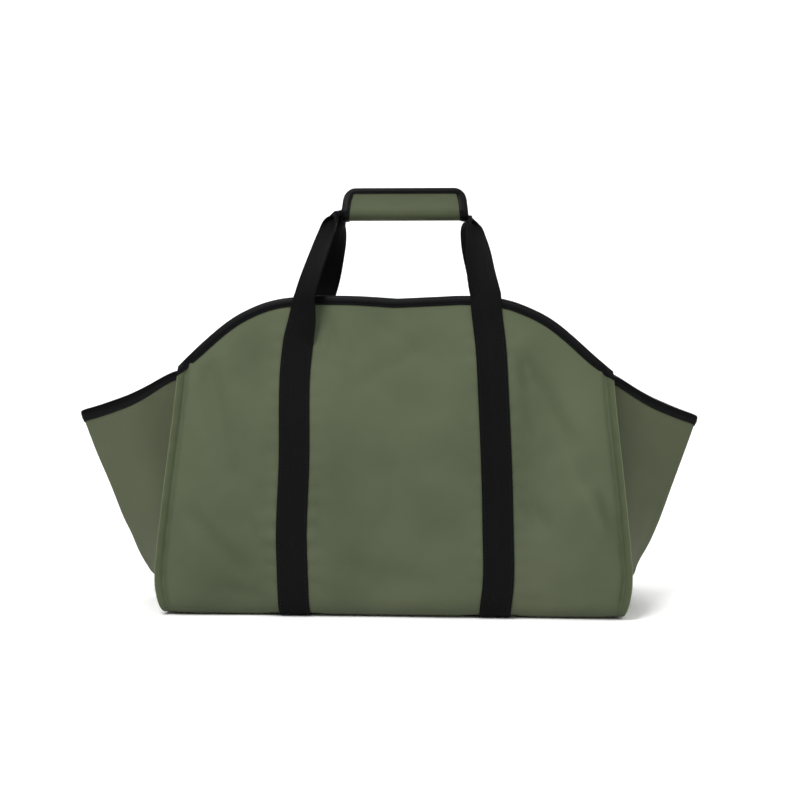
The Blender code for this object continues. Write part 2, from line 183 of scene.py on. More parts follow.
# %%
TOP_EDGE_LEFT = [  # share of half the length, and of the rise from the seam's top to the crown
    (0.0, 0.967), (0.124, 0.99), (0.234, 1.004), (0.4, 1.0), (0.512, 0.975), (0.567, 0.948),
    (0.621, 0.906), (0.676, 0.845), (0.731, 0.769), (0.786, 0.67), (0.84, 0.55), (0.895, 0.415),
    (0.949, 0.272), (1.0, 0.125),
]
TOP_EDGE_RIGHT = [
    (0.0, 0.967), (0.209, 0.992), (0.318, 1.004), (0.45, 0.99), (0.538, 0.943), (0.591, 0.895),
    (0.645, 0.834), (0.7, 0.759), (0.754, 0.662), (0.808, 0.542), (0.862, 0.41), (0.916, 0.274),
    (0.97, 0.145), (1.0, 0.075),
]
SIDE_EDGE = [  # share of the seam's height, and of half the length
    (0.0, 0.962), (0.04, 0.978), (0.11, 0.994), (0.18, 1.0), (0.3, 0.993), (0.55, 0.97),
    (1.0, 0.926), (1.4, 0.91),
]


def half_length(z):
    """Half the body's length at a height."""
    return HALF_LENGTH * lookup(SIDE_EDGE, z / SEAM_TOP)


def top_edge(across):
    """Height of the panel's top edge at a share of half the length."""
    table = TOP_EDGE_LEFT if across < 0 else TOP_EDGE_RIGHT
    return SEAM_TOP + (CROWN_HEIGHT - SEAM_TOP) * lookup(table, abs(across))


def wall_depth(z, inset=0.0):
    """Distance of the leaning panel from the bag's middle plane."""
    return ARC_Y + (BASE_CORNER - inset - (z - ARC_Z) * math.sin(LEAN)) / math.cos(LEAN)


def corner_point(turn, inset=0.0):
    """(depth, height) on the base's round corner: turn 0 meets the panel, 1 meets the base."""
    angle = LEAN - (math.pi / 2 + LEAN) * turn
    radius = BASE_CORNER - inset
    return ARC_Y + radius * math.cos(angle), ARC_Z + radius * math.sin(angle)


STRAP_BASE = 0.124
STRAPS = {  # by side and face: height, and the strap's distance from the middle of the body
    (-1, -1): [
        (0.0, 0.1195), (0.011, 0.1197), (0.057, 0.1224), (0.105, 0.1243), (0.19, 0.1226),
        (0.289, 0.1236), (0.338, 0.1197), (0.363, 0.116), (0.391, 0.1135),
    ],
    (1, -1): [
        (0.0, 0.1262), (0.014, 0.1272), (0.035, 0.1298), (0.059, 0.1309), (0.107, 0.1299),
        (0.168, 0.1284), (0.265, 0.124), (0.327, 0.1204), (0.376, 0.1146), (0.391, 0.1135),
    ],
    (-1, 1): [(0.0, 0.124), (0.15, 0.1255), (0.288, 0.1205), (0.35, 0.111), (0.391, 0.106)],
    (1, 1): [(0.0, 0.124), (0.15, 0.123), (0.288, 0.124), (0.391, 0.114)],
}


def strap_middle(z, side, face):
    """Distance of a strap's middle line from the middle of the body."""
    return lookup(STRAPS[side, face], z)


print(f"top edge {top_edge(0) * 1000:.0f} mm high, seam top {SEAM_TOP * 1000:.0f} mm")

# %% [markdown]
# ## Dents, folds and puckers
# Slack cloth hangs in broad dents between the lines that are sewn. Sharper folds run out
# of the seams, and small puckers sit along the straps where the thread draws the canvas in.
# Each fold is a soft ridge along a short line, listed in millimetres from the panel's middle,
# so the ones in the picture can be set down one by one. The back has its own.

# %%
DENTS = [  # across, height, spread across, spread up, share of the slack
    (0.0, 0.36, 0.24, 0.26, 0.7),
    (-0.74, 0.4, 0.17, 0.24, 0.75),
    (0.74, 0.3, 0.17, 0.18, 0.8),
    (0.66, 0.58, 0.12, 0.16, -0.55),
    (0.8, 0.46, 0.1, 0.13, 0.45),
    (-0.66, 0.72, 0.12, 0.12, -0.35),
]
FRONT_FOLDS = [  # from x, z to x, z, width, and how far out, all in millimetres
    (-90, 376, -78, 336, 7, -1.8),
    (-88, 350, -70, 318, 8, 0.8),
    (158, 304, 232, 168, 17, -3.2),
    (216, 190, 250, 110, 18, 1.6),
    (174, 268, 273, 92, 12, 1.8),
    (152, 150, 178, 120, 14, -1.8),
    (-26, 366, 24, 328, 12, -0.7),
    (22, 320, -36, 286, 12, -0.6),
    (-164, 104, -146, 74, 8, -1.4),
    (-96, 138, -94, 100, 5, -1.0),
    (-193, 30, -146, 18, 10, -1.0),
    (150, 22, 208, 12, 10, -1.0),
    (-232, 300, -206, 180, 14, -1.4),
    (-60, 60, 40, 44, 14, -0.8),
    (-250, 120, -190, 60, 12, -1.2),
]
BACK_FOLDS = [
    (-160, 300, -230, 150, 14, -2.2),
    (-90, 350, -60, 300, 9, -1.2),
    (160, 120, 240, 60, 12, -1.6),
    (60, 360, 10, 300, 12, -1.0),
    (200, 290, 236, 180, 12, 1.6),
    (-60, 70, 50, 50, 12, -1.4),
    (96, 150, 94, 108, 5, -1.0),
]
FOLD_DEPTH = 3.8  # the folds show this many times deeper than they are listed
FOLD_END = 0.016  # how far a fold fades out past its ends
FADE = 0.03  # slack cloth lies flat this near to straps, seams and tape
PUCKER_PITCH = 0.023
PUCKER = 0.0007
PUCKER_LOW = {-1: 0.0011, 1: 0.0001}  # how much taller puckers are low down, by side
BROAD_RIPPLE = 0.0034
FINE_RIPPLE = 0.0015
GROOVE = 0.0038  # the valley that the thread of an end seam draws in
RIB = 0.0016  # the thickness of the seam allowance beyond that valley


def fold_height(x, z, folds):
    """The folds added up, at a place on the panel, in metres."""
    out = 0.0
    for x0, z0, x1, z1, width, tall in folds:
        line = numpy.array((x1 - x0, z1 - z0)) / 1000
        length = float(numpy.hypot(*line))
        dx = x - x0 / 1000
        dz = z - z0 / 1000
        along = (dx * line[0] + dz * line[1]) / length
        aside = (dx * line[1] - dz * line[0]) / length
        if abs(aside) > 0.06 or along < -0.06 or along > length + 0.06:
            continue
        past = max(-along, along - length, 0.0)
        out += FOLD_DEPTH * tall / 1000 * band(aside, width / 1000) * band(past, FOLD_END)
    return out


def stand_out(across, z, face):
    """How far the cloth stands out of the flat panel: face -1 is the front, 1 the back."""
    x = across * half_length(z)
    to_edge = half_length(z) - abs(x)
    side = -1 if x < 0 else 1
    beside = abs(abs(x) - strap_middle(z, side, face)) - WEBBING_WIDTH / 2
    below_top = top_edge(across) - z
    off_strap = ease((beside + 0.001) / FADE)
    off_seam = ease((to_edge - SEAM_ALLOWANCE) / FADE)
    off_top = ease((below_top - TAPE_WIDTH) / FADE)
    off_base = ease((z - ARC_TOP) / 0.05)
    slack = 0.0
    for at, up, wide, tall, share in DENTS:
        dx = (across * -face - at) / wide
        dz = (z / CROWN_HEIGHT - up) / tall
        slack += share * math.exp(-dx * dx - dz * dz)
    out = CLOTH_SLACK * slack * off_base
    out += fold_height(x, z, FRONT_FOLDS if face < 0 else BACK_FOLDS)
    place = Vector((x * 9, z * 9, face * 3.0))
    out += BROAD_RIPPLE * noise.noise(place) + FINE_RIPPLE * noise.noise(place * 2.7)
    out *= off_strap * off_seam * ease((below_top - TAPE_WIDTH * 0.5) / 0.045)
    pucker = math.sin(z / PUCKER_PITCH * math.tau + 3 * noise.noise(Vector((x * 4, z * 14, 1))))
    drawn = PUCKER + PUCKER_LOW[side] * band(z - 0.095, 0.045)
    out += drawn * pucker * band(beside - 0.007, 0.009) * off_top
    groove = band(to_edge - SEAM_ALLOWANCE - 0.001, 0.0036)
    rib = ease((SEAM_ALLOWANCE - to_edge) / 0.006) + 0.7 * band(to_edge - 0.0016, 0.0016)
    draw = 0.0004 * math.sin(z / 0.031 * math.tau + 4 * noise.noise(Vector((0, z * 9, face))))
    seam_part = (draw - GROOVE) * groove * max(1 - rib, 0) + (RIB + draw) * rib
    return out + seam_part * ease((below_top + 0.004) / 0.02)


print("dents:", len(DENTS), "folds:", len(FRONT_FOLDS) + len(BACK_FOLDS))

# %% [markdown]
# ## Cloth from a grid of points
# Every piece of cloth starts as a grid of points in the middle of its thickness.
# A map in metres along the weave goes with it, so the threads keep their size on every
# piece. Solidify then gives the cloth its thickness and closes the edges.


# %%
def cloth_map(points):
    """For each point of a grid, the cloth's length across and down to it, in metres."""
    grid = numpy.array([[tuple(p) for p in row] for row in points])
    steps = numpy.linalg.norm(numpy.diff(grid, axis=1), axis=2)
    across = numpy.concatenate([numpy.zeros((grid.shape[0], 1)), numpy.cumsum(steps, axis=1)], 1)
    across -= across[:, across.shape[1] // 2][:, None]
    steps = numpy.linalg.norm(numpy.diff(grid, axis=0), axis=2)
    down = numpy.concatenate([numpy.zeros((1, grid.shape[1])), numpy.cumsum(steps, axis=0)], 0)
    return across, down


def grid_piece(name, points, thickness, materials, sharp=50.0, seam_columns=()):
    """A closed piece of cloth from rows of points in body coordinates.

    The last material is the cut edge's. `seam_columns` gives the first columns of each side,
    counted from the edge, a material of their own.
    """
    rows = len(points)
    columns = len(points[0])
    across, down = cloth_map(points)
    flat = [(p[0] + BODY_SHIFT, p[1], p[2]) for row in points for p in row]
    starts = [r * columns + c for r in range(rows - 1) for c in range(columns - 1)]
    faces = [(a, a + 1, a + columns + 1, a + columns) for a in starts]
    mesh = bpy.data.meshes.new(name)
    mesh.from_pydata(flat, [], faces)
    layer = mesh.uv_layers.new(name="weave")
    corners = numpy.empty(len(mesh.loops), dtype=numpy.int32)
    mesh.loops.foreach_get("vertex_index", corners)
    uv = numpy.stack([across.ravel()[corners], down.ravel()[corners]], axis=1)
    layer.data.foreach_set("uv", uv.astype(numpy.float32).ravel())
    for material in materials:
        mesh.materials.append(material)
    for face in mesh.polygons:
        column = face.index % (columns - 1)
        from_edge = min(column, columns - 2 - column)
        if from_edge < len(seam_columns):
            face.material_index = seam_columns[from_edge]
    sheet = bpy.data.objects.new(name, mesh)
    scene.collection.objects.link(sheet)
    wall = sheet.modifiers.new("thickness", "SOLIDIFY")
    wall.thickness = thickness
    wall.offset = 0.0
    wall.material_offset_rim = len(materials) - 1
    return settled(sheet, sharp)


def settled(piece, sharp):
    """The piece with its modifiers worked into a plain mesh, and a line on its size."""
    graph = bpy.context.evaluated_depsgraph_get()
    mesh = bpy.data.meshes.new_from_object(piece.evaluated_get(graph), depsgraph=graph)
    piece.modifiers.clear()
    old = piece.data
    piece.data = mesh
    bpy.data.meshes.remove(old)
    mesh.name = piece.name
    mesh.shade_smooth()
    mesh.set_sharp_from_angle(angle=math.radians(sharp))
    print(piece.name, len(mesh.polygons), "faces")
    return piece


print("cloth helpers ready")

# %% [markdown]
# ## A recipe for woven goods
# Canvas, tape, webbing and thread differ in colour, thread and sheen, but all are woven or
# twisted from yarn, so one recipe does for all. Two waves cross on the cloth map to make
# the threads, broad noise mottles the colour, and fine noise stands for uneven yarn.
# One function adds a node with its settings and links, so the recipe reads as a list.

# %%
MOTTLE_SCALE = 7.0  # patches of about 140 mm
YARN_SCALE = 420.0  # specks of about 2.4 mm
THREAD_SHADE = 0.35
YARN_SHADE = 0.21
SHADE_START = 0.25  # the tint below which a place has the full dark colour
GROUND_SHADE_TOP = 0.27  # the height up to which painted shade darkens the cloth
SIDE_SHADE_FROM = 0.055  # from the middle of the cloth, where the painted shade beside a seam starts,
SIDE_SHADE_TO = 0.125  # and where it is darkest
ROUGH_RANGE = 0.12
THREAD_BUMP = 0.6


def linear(code):
    """A colour written as a web code, in the linear values that shaders take."""
    values = [int(code[i : i + 2], 16) / 255 for i in (1, 3, 5)]
    return [v / 12.92 if v <= 0.04045 else ((v + 0.055) / 1.055) ** 2.4 for v in values]


def add_node(tree, kind, settings=None, inputs=None):
    """One node. An input is a value, an output of a node, or a node for its first output."""
    node = tree.nodes.new(kind)
    for key, value in (settings or {}).items():
        setattr(node, key, value)
    for key, value in (inputs or {}).items():
        if isinstance(value, bpy.types.Node):
            value = value.outputs[0]
        if isinstance(value, bpy.types.NodeSocket):
            tree.links.new(value, node.inputs[key])
        else:
            node.inputs[key].default_value = value
    return node


def woven(
    name, dark, light, rough, gloss, pitch=0.0011, depth=0.00012, ribs=None,
    mottling=0.5, ground_shade=0.0, side_shade=0.0,
):
    """A woven material: colours from dark to light, thread pitch and depth in metres.

    The last two arguments are painted shade: how much darker the cloth is made near the ground,
    and the same toward its two sides, in the valley beside a seam.
    """
    material = bpy.data.materials.new(name)
    material.use_nodes = True
    tree = material.node_tree
    shader = tree.nodes["Principled BSDF"]
    place = add_node(tree, "ShaderNodeUVMap", {"uv_map": "weave"})
    object_place = add_node(tree, "ShaderNodeTexCoord").outputs["Object"]
    weft, warp = (
        add_node(
            tree,
            "ShaderNodeTexWave",
            {"wave_type": "BANDS", "bands_direction": along, "wave_profile": "SIN"},
            {"Vector": place, "Scale": math.tau / 20 / crest, "Distortion": 0.0},
        ).outputs["Fac"]
        for along, crest in (("Y", pitch), ("X", ribs or pitch))
    )
    weave = add_node(tree, "ShaderNodeMath", {"operation": "MULTIPLY"}, {0: weft, 1: warp})
    mottle, yarn = (
        add_node(
            tree,
            "ShaderNodeTexNoise",
            {},
            {"Vector": where, "Scale": scale, "Detail": detail, "Roughness": uneven},
        )
        for where, scale, detail, uneven in (
            (object_place, MOTTLE_SCALE, 3.0, 0.55),
            (place, YARN_SCALE, 2.0, 0.6),
        )
    )
    tint = 0.5 - mottling / 2
    for pattern, share in ((mottle, mottling), (weave, THREAD_SHADE), (yarn, YARN_SHADE)):
        inputs = {0: pattern, 1: share, 2: tint}
        tint = add_node(tree, "ShaderNodeMath", {"operation": "MULTIPLY_ADD"}, inputs)
    ramp = add_node(tree, "ShaderNodeValToRGB", {}, {"Fac": tint})
    first, last = ramp.color_ramp.elements
    first.color = (*linear(dark), 1)
    first.position = SHADE_START
    last.color = (*linear(light), 1)
    height = add_node(tree, "ShaderNodeSeparateXYZ", {}, {"Vector": object_place}).outputs["Z"]
    across = add_node(tree, "ShaderNodeSeparateXYZ", {}, {"Vector": place})
    aside = add_node(tree, "ShaderNodeMath", {"operation": "ABSOLUTE"}, {0: across})
    # Painted shade: the colour is darkened toward the ground and toward both sides of the cloth
    # map.
    low, outer = (
        add_node(
            tree,
            "ShaderNodeMapRange",
            {"interpolation_type": "SMOOTHSTEP"},
            {"Value": value, "From Min": a, "From Max": b, "To Min": from_a, "To Max": to_b},
        )
        for value, a, b, from_a, to_b in (
            (height, 0.0, GROUND_SHADE_TOP, 1 - ground_shade, 1.0),
            (aside, SIDE_SHADE_FROM, SIDE_SHADE_TO, 1.0, 1 - side_shade),
        )
    )
    painted_shade_factor = add_node(tree, "ShaderNodeMath", {"operation": "MULTIPLY"}, {0: low, 1: outer})
    coloured = add_node(
        tree, "ShaderNodeVectorMath", {"operation": "SCALE"}, {0: ramp, "Scale": painted_shade_factor}
    )
    roughness = add_node(
        tree,
        "ShaderNodeMath",
        {"operation": "MULTIPLY_ADD"},
        {0: yarn, 1: ROUGH_RANGE, 2: rough - ROUGH_RANGE / 2},
    )
    bump = add_node(
        tree, "ShaderNodeBump", {}, {"Height": weave, "Strength": THREAD_BUMP, "Distance": depth}
    )
    for socket, node in (("Base Color", coloured), ("Roughness", roughness), ("Normal", bump)):
        tree.links.new(node.outputs[0], shader.inputs[socket])
    shader.inputs["Specular IOR Level"].default_value = gloss
    return material


print("helpers ready: add_node, woven")

# %% [markdown]
# ## The materials
# The canvas is polyester with a matt coating, which evens out its colour and leaves hardly
# any sheen. Tape and webbing are nearly black, and only the tape shines a little.
# Real canvas has a thread every 0.4 mm, too fine for the picture, so each recipe draws its
# threads two to three times as coarse, and the weave still shows close up.

# %%
# Plain-woven polyester, coated on a roller: even and matt and softly mottled where it has
# been creased, with painted shade that makes it a little darker toward the ground.
canvas = woven("coated polyester canvas", "#3b4431", "#4f5540", 0.72, 0.2, mottling=1.3, ground_shade=0.12)
# The ends: duller, and painted darker and browner as shade, most of all in the seams' valleys.
shaded_end_canvas = woven(
    "coated polyester canvas, shaded ends", "#414735", "#515642", 0.76, 0.16, mottling=0.8, side_shade=0.22
)
# Turned in and pressed in layers at the end seams: a flat stripe painted darker as the seam's
# shade.
seam_shade_canvas = woven("coated polyester canvas, shaded seam", "#38402d", "#474e39", 0.72, 0.16, mottling=0.8)
# Rubbed by hands and gloves, so a trace smoother; painted darker than the body as shade.
grip_shade_canvas = woven(
    "coated polyester canvas, shaded grip", "#343b2a", "#464c37", 0.7, 0.18, mottling=0.9
)
# Cut through the coating, so the edge shows the paler and duller core of the yarn.
cut_edge = woven("canvas cut edge", "#4f573f", "#666e52", 0.85, 0.2)
# Ribbed tape, woven tight from bright yarn: nearly black, with a thin cool sheen.
tape = woven("grosgrain binding tape", "#040405", "#0b0b0d", 0.36, 0.06, 0.0009, 0.00016, 0.003)
# Dense webbing woven from dull spun yarn: black and matt, with faint ribs.
webbing = woven("polyester webbing", "#060606", "#0e0e0f", 0.75, 0.05, 0.0016, 0.00028, 0.0032)
# Twisted and waxed: small dark beads with a soft glint.
black_thread = woven("black sewing thread", "#0a0a0b", "#18181b", 0.5, 0.12, 0.0008, 0.0001)
# Twisted and dyed to go with the canvas: a faint dotted line in the seam's valley.
green_thread = woven("olive sewing thread", "#444b34", "#566044", 0.5, 0.2, 0.0008, 0.0001)
print("materials:", [m.name for m in bpy.data.materials if m.use_nodes])

# %% [markdown]
# ## The body canvas
# One length of canvas makes the front, the base and the back, so it is one grid that runs
# from the front's top edge under the base to the back's top edge. Rows are about 5 mm
# apart on the panels, close enough for the small folds beside the seams.

# %%
BODY_COLUMNS = 119
SEAM_COLUMNS = [0, 0.8, 1.6, 2.5, 3.6, 5.0, 6.5, 8.0, 9.5, 11.0, 13.0, 15.5]
PANEL_STEPS = 70
CORNER_STEPS = 12
BASE_STEPS = 14
BASE_SAG = 0.0017


def body_shares():
    """Shares across the body, closer together at the seams for the rib and its groove."""
    seam = [1 - d / 1000 / HALF_LENGTH for d in SEAM_COLUMNS]
    inner = 1 - (SEAM_COLUMNS[-1] + 3) / 1000 / HALF_LENGTH
    return [-share for share in seam] + spread(-inner, inner, BODY_COLUMNS) + seam[::-1]


def body_rows():
    """Rows of the whole length as (part, share, face)."""
    front = [("panel", i / PANEL_STEPS) for i in range(PANEL_STEPS + 1)]
    front += [("corner", (i + 1) / CORNER_STEPS) for i in range(CORNER_STEPS)]
    front += [("base", (i + 1) / BASE_STEPS) for i in range(BASE_STEPS)]
    rows = [(part, share, -1) for part, share in front]
    rows += [(part, share, 1) for part, share in reversed(front[:-1])]
    return rows


def base_sag(across, face):
    """How far the cloth of the base hangs below its flat level, clear of straps and seams."""
    side = -1 if across < 0 else 1
    x = abs(across) * half_length(BASE_HEIGHT)
    beside = abs(x - strap_middle(0, side, face)) - WEBBING_WIDTH / 2
    return BASE_SAG * ease((beside - 0.002) / 0.03) * ease((half_length(BASE_HEIGHT) - x) / 0.04)


def body_point(across, part, share, face, out=0.0):
    """A point of the body cloth, or `out` outside it."""
    if part == "panel":
        z = top_edge(across) + (ARC_TOP - top_edge(across)) * share
        depth = wall_depth(z, -out) + stand_out(across, z, face)
        return Vector((across * half_length(z), face * depth, z))
    if part == "corner":
        depth, z = corner_point(share, -out)
        depth += stand_out(across, ARC_TOP, face) * (1 - share)
        z -= base_sag(across, face) * share**2
        return Vector((across * half_length(max(z, BASE_HEIGHT)), face * depth, z))
    z = BASE_HEIGHT - out - base_sag(across, face) * (1 - 0.4 * share)
    return Vector((across * half_length(BASE_HEIGHT), face * ARC_Y * (1 - share), z))


points = [
    [body_point(across, part, share, face) for across in body_shares()]
    for part, share, face in body_rows()
]
body_materials = [canvas, seam_shade_canvas, cut_edge]
seam_columns = [2] + [1] * 6  # the cut edge, then the seam's stripe of painted shade
body = grid_piece("body_canvas", points, CANVAS, body_materials, seam_columns=seam_columns)

# %% [markdown]
# ## The winged ends
# Each end is a rectangle of canvas sewn along the front, the base and the back. Its upper
# part is pushed outward, so it folds along an upright ridge and juts out like a wing.
# The seam allowance lies against the panels, and the first millimetres go inward, which
# leaves the narrow valley beside the seam.

# %%
RIDGE_LEFT = [  # share of the tip's height, and of the reach from the base seam to the tip
    (0.0, 0.0), (0.04, 0.015), (0.09, 0.19), (0.13, 0.33), (0.174, 0.39), (0.218, 0.437),
    (0.262, 0.476), (0.351, 0.541), (0.439, 0.615), (0.616, 0.735), (0.792, 0.864), (1.0, 1.0),
]
RIDGE_RIGHT = [
    (0.0, 0.0), (0.04, 0.015), (0.09, 0.16), (0.157, 0.28), (0.2, 0.312), (0.244, 0.357),
    (0.288, 0.414), (0.332, 0.465), (0.376, 0.508), (0.463, 0.585), (0.637, 0.719), (0.81, 0.854),
    (1.0, 1.0),
]
WING_FALL = [  # share from the seam to the ridge, and of the way down to the ridge's height
    (0.0, 0.0), (0.1, 0.03), (0.2, 0.145), (0.35, 0.372), (0.5, 0.572), (0.65, 0.73),
    (0.8, 0.872), (0.9, 0.948), (1.0, 1.0),
]
WING_HOLLOW = {-1: 1.4, 1: 1.3}
RIDGE_ROUND = 0.16
VALLEY = 0.0028
WING_STEPS = 44
WING_SIDE_STEPS = 56
WING_CORNER_STEPS = 10
WING_RIPPLE = 0.0022
WING_BULGE = 0.0045  # a soft ridge beside the seam
BULGE_AT = 0.1
BULGE_WIDTH = 0.06
WING_FOLDS = [  # share out along the wing, share down, width, and how far out in metres
    (0.35, 0.2, 0.12, -0.0018),
    (0.62, 0.55, 0.16, 0.0022),
    (0.25, 0.8, 0.12, 0.0016),
]


def wing_tip(side):
    """How far the tip of an end stands out from the middle of the body."""
    return half_length(0) + (WING_LEFT if side < 0 else WING_RIGHT)


def seam_line(z):
    """Distance of the end seam's stitching from the middle of the body."""
    return half_length(z) - SEAM_ALLOWANCE


def ridge_line(side, z):
    """Distance of the end's ridge from the middle of the body, at a height."""
    foot = seam_line(BASE_HEIGHT)
    table = RIDGE_LEFT if side < 0 else RIDGE_RIGHT
    return foot + (wing_tip(side) - foot) * lookup(table, z / TIP_HEIGHT[side])


def wing_point(side, face, column, part, share):
    """A point of an end: column 0 is the valley and 1 the ridge, -1 the seam, -2 its edge."""
    if part == "side":
        z_top = SEAM_TOP - WING_DROP[side]
        z_seam = z_top + (ARC_TOP - z_top) * share
        z_ridge = TIP_HEIGHT[side] + (ARC_TOP - TIP_HEIGHT[side]) * share
        behind = LAYER + (TAPE + GAP) * ease((z_seam - z_top + WING_TUCK) / TAPE_WIDTH)
        depth = wall_depth(z_seam, behind)
        depth += stand_out(seam_line(z_seam) / half_length(z_seam), z_seam, face)
        upright = 1.0
    else:
        turn = min(share, 1.0)
        depth, z_seam = corner_point(turn, LAYER)
        z_ridge = z_seam
        depth += stand_out(seam_line(ARC_TOP) / half_length(ARC_TOP), ARC_TOP, face) * (1 - turn)
        upright = 1.0 - turn
    seam = Vector((side * seam_line(z_seam), face * depth, z_seam))
    if column == -1 and share <= 1:
        return seam
    if column < 0 or share > 1:
        reach = half_length(z_seam)
        edge = stand_out(1.0, max(z_seam, ARC_TOP), face) if part == "side" else 0.0
        depth_edge = wall_depth(z_seam, behind) + edge if part == "side" else depth
        if share > 1 and column >= 0:
            return Vector((side * reach, seam.y * (1 - column), seam.z))
        return Vector((side * reach, face * depth_edge, seam.z))
    ridge = Vector((side * ridge_line(side, z_ridge), 0.0, z_ridge))
    valley = seam + Vector((-side * VALLEY, -face * VALLEY * 1.2, 0.0)) * upright
    near = max(column - (1 - RIDGE_ROUND), 0.0)
    out = (column - near * near / (2 * RIDGE_ROUND)) / (1 - RIDGE_ROUND / 2)
    point = Vector(
        (
            valley.x + (ridge.x - valley.x) * out,
            valley.y * (1 - column) ** WING_HOLLOW[side],
            valley.z + (ridge.z - valley.z) * lookup(WING_FALL, column),
        )
    )
    if part == "side":
        loose = ease(column / 0.1) * ease((1 - column) / 0.2) * ease((share - 0.05) / 0.1)
        push = WING_RIPPLE * noise.noise(Vector((column * 2.2 + side * 5, share * 3.2, face * 7)))
        push += WING_BULGE * band(column - BULGE_AT, BULGE_WIDTH)
        for at, down, width, tall in WING_FOLDS:
            push += tall * band(math.hypot(column - at, (share - down) * 0.8), width)
        point += Vector((side * 0.6, face * 0.8, 0.0)) * push * loose * (1 - share * 0.5)
    return point


def wing_rows():
    """Rows of an end from its top edge to the base seam, and the allowance under the body."""
    rows = [("side", i / WING_SIDE_STEPS) for i in range(WING_SIDE_STEPS + 1)]
    rows += [("corner", (i + 1) / WING_CORNER_STEPS) for i in range(WING_CORNER_STEPS)]
    rows.append(("corner", 1.01))
    return rows


def wing_columns():
    """Columns from the front's allowance over the ridge to the back's, as (face, column)."""
    shares = [-2, -1] + [(i / WING_STEPS) ** 1.15 for i in range(WING_STEPS + 1)]
    return [(-1, c) for c in shares] + [(1, c) for c in reversed(shares[:-1])]


for side, hand in SIDES:
    points = [
        [wing_point(side, face, column, part, share) for face, column in wing_columns()]
        for part, share in wing_rows()
    ]
    grid_piece(f"{hand}_shaded_end_canvas", points, CANVAS, [shaded_end_canvas, cut_edge])

# %% [markdown]
# ## Binding tape
# Tape is folded over each raw edge and sewn through. Its section is a rounded nose with a
# slightly swollen back, since the folded canvas inside fills it. The section is carried
# along the edge, square to it, with the cloth's own outward direction as its upright.

# %%
NOSE_STEPS = 6
BACK_STEPS = 5
TAPE_SWELL = 0.0006
TAPE_NOSE = TAPE_OUT + 0.0006  # how far the fold stands out past the cloth's edge
DOWN_STEP = 0.03  # a small share of the way down a cloth, to find which way down is
END_FRAMES = 7
TAPE_SHARP = 60.0


def tape_section(width):
    """The fold of the tape as (into the cloth, outward), from the front hem to the back hem."""
    half = []
    for i in range(BACK_STEPS + 1):
        t = 1 - i / BACK_STEPS
        half.append((width * t, TAPE_OUT + TAPE_SWELL * math.sin(math.pi * min(t * 1.15, 1.0))))
    for i in range(1, NOSE_STEPS):
        angle = math.pi / 2 * i / NOSE_STEPS
        half.append((-math.sin(angle) * TAPE_NOSE, math.cos(angle) * TAPE_OUT))
    nose = [(-TAPE_NOSE, 0.0)]
    return half + nose + [(a, -b) for a, b in reversed(half)]


def tape_rows(edge, widths):
    """Rows of a tape's points. Each item of `edge` is (point, into the cloth, outward)."""
    return [
        [point + inner * a + out * b for a, b in tape_section(width)]
        for (point, inner, out), width in zip(edge, widths)
    ]


def edge_frames(place, shares):
    """Frames along a cloth's edge: `place(share, down)` is a point of that cloth.

    Toward its ends the tape is sheared, so that it is cut flush with the seam.
    """
    frames = []
    for k, share in enumerate(shares):
        before = place(shares[max(k - 1, 0)], 0.0)
        after = place(shares[min(k + 1, len(shares) - 1)], 0.0)
        point = place(share, 0.0)
        along = (after - before).normalized()
        down_cloth = (place(share, DOWN_STEP) - point).normalized()
        square = (down_cloth - along * down_cloth.dot(along)).normalized()
        out = along.cross(square).normalized()
        flush = max(ease(1 - k / END_FRAMES), ease(1 - (len(shares) - 1 - k) / END_FRAMES))
        inner = square.lerp(down_cloth / max(down_cloth.dot(square), 0.5), flush)
        frames.append((point, inner, out))
    return frames


TOP_STEPS = 150
TOP_TAPE = [(0.0, 0.0068), (0.035, 0.008), (0.09, 0.0095), (1.0, 0.0095)]
top_frames = {}
top_widths = [lookup(TOP_TAPE, 1 - abs(share)) for share in spread(-1.0, 1.0, TOP_STEPS)]
for face, name in FACES:
    frames = edge_frames(
        lambda across, down, face=face: body_point(across, "panel", down, face),
        spread(-1.0, 1.0, TOP_STEPS),
    )
    top_frames[face] = [(p, i, o if o.y * face > 0 else -o) for p, i, o in frames]
    rows = tape_rows(top_frames[face], top_widths)
    grid_piece(f"{name}_top_tape", rows, TAPE, [tape], TAPE_SHARP)

# %% [markdown]
# ## Tape on the winged ends
# The same tape runs over the top edge of each end, from one seam round the ridge to the
# other. At the ridge it turns sharply, so its frames are taken closer together there.

# %%
WING_TAPE = {  # share from the seam to the ridge, and the tape's width
    -1: [(0.0, 0.0085), (0.25, 0.0095), (0.5, 0.0122), (0.8, 0.0128), (1.0, 0.0122)],
    1: [(0.0, 0.0085), (0.3, 0.0095), (1.0, 0.0098)],
}
WING_TAPE_START = 0.012
WING_TAPE_STEPS = 40
wing_frames = {}
wing_widths = {}


def wing_edge(side):
    """Frames along the top edge of an end, from the front seam to the back seam."""
    length = 1 - WING_TAPE_START
    steps = range(WING_TAPE_STEPS + 1)
    shares = [WING_TAPE_START + length * i / WING_TAPE_STEPS for i in steps]
    front = edge_frames(lambda column, down: wing_point(side, -1, column, "side", down), shares)
    rows = []
    for k, (point, inner, out) in enumerate(front):
        out = out if out.x * side > 0 else -out
        if k == len(front) - 1:
            inner = Vector((inner.x, 0, inner.z)).normalized()
            out = Vector((out.x, 0, out.z)).normalized()
        rows.append((point, inner, out))
    flip = Vector((1, -1, 1))
    return rows + [(p * flip, i * flip, o * flip) for p, i, o in reversed(rows[:-1])]


for side, hand in SIDES:
    wing_frames[side] = wing_edge(side)
    half = (len(wing_frames[side]) - 1) / 2
    wing_widths[side] = [
        lookup(WING_TAPE[side], 1 - abs(k / half - 1)) for k in range(len(wing_frames[side]))
    ]
    rows = tape_rows(wing_frames[side], wing_widths[side])
    grid_piece(f"{hand}_end_tape", rows, TAPE, [tape], TAPE_SHARP)

